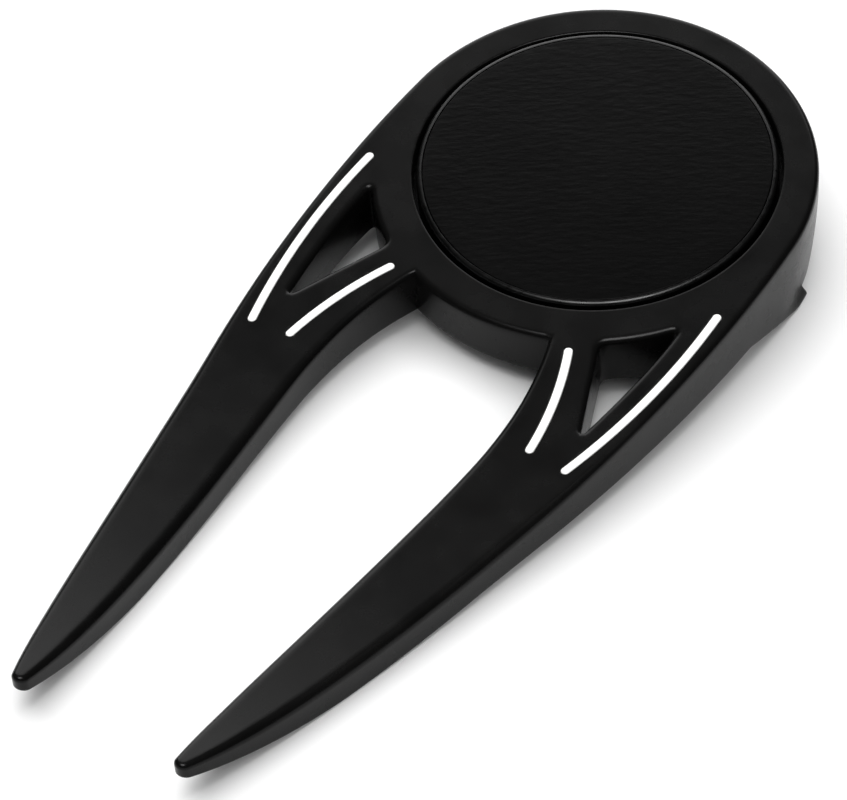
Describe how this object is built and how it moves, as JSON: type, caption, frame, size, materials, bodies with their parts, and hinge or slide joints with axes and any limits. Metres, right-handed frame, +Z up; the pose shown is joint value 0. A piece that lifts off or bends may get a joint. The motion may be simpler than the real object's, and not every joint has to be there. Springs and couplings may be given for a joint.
{
  "type": "divot repair tool",
  "caption": "Two-pronged pitch mark repair tool with a round head, windowed struts, inlaid stripes and a magnetic lift-out ball marker.",
  "frame": {"origin": "on the ground, under the middle of the tool's bounding box, with the tool lying on its heel and the bellies of its prongs", "axes": "+Y from the prong tips to the back of the head, +Z up, +X to the right of the tool seen from above with the prongs towards the viewer"},
  "size_m": [0.0308, 0.0726, 0.0089],
  "materials": {
    "body_plastic": "satin black, finely textured",
    "stripe_inlay": "white, satin",
    "marker_steel": "black plated, satin",
    "marker_vinyl": "black with a fine leather grain",
    "magnet_nickel": "nickel plated"
  },
  "bodies": {
    "tool": {"tool_body": "body_plastic", "base_cover": "body_plastic", "outer_stripe_left": "stripe_inlay", "outer_stripe_right": "stripe_inlay", "inner_stripe_left": "stripe_inlay", "inner_stripe_right": "stripe_inlay", "marker_magnet": "magnet_nickel"},
    "marker": {"marker_disc": "marker_steel", "marker_face": "marker_vinyl"}
  },
  "joints": [
    {"name": "marker_lift", "type": "slide", "parent": "tool", "child": "marker", "axis": [0, -0.1253, 0.9921], "range_m": [0, 0.02]}
  ]
}
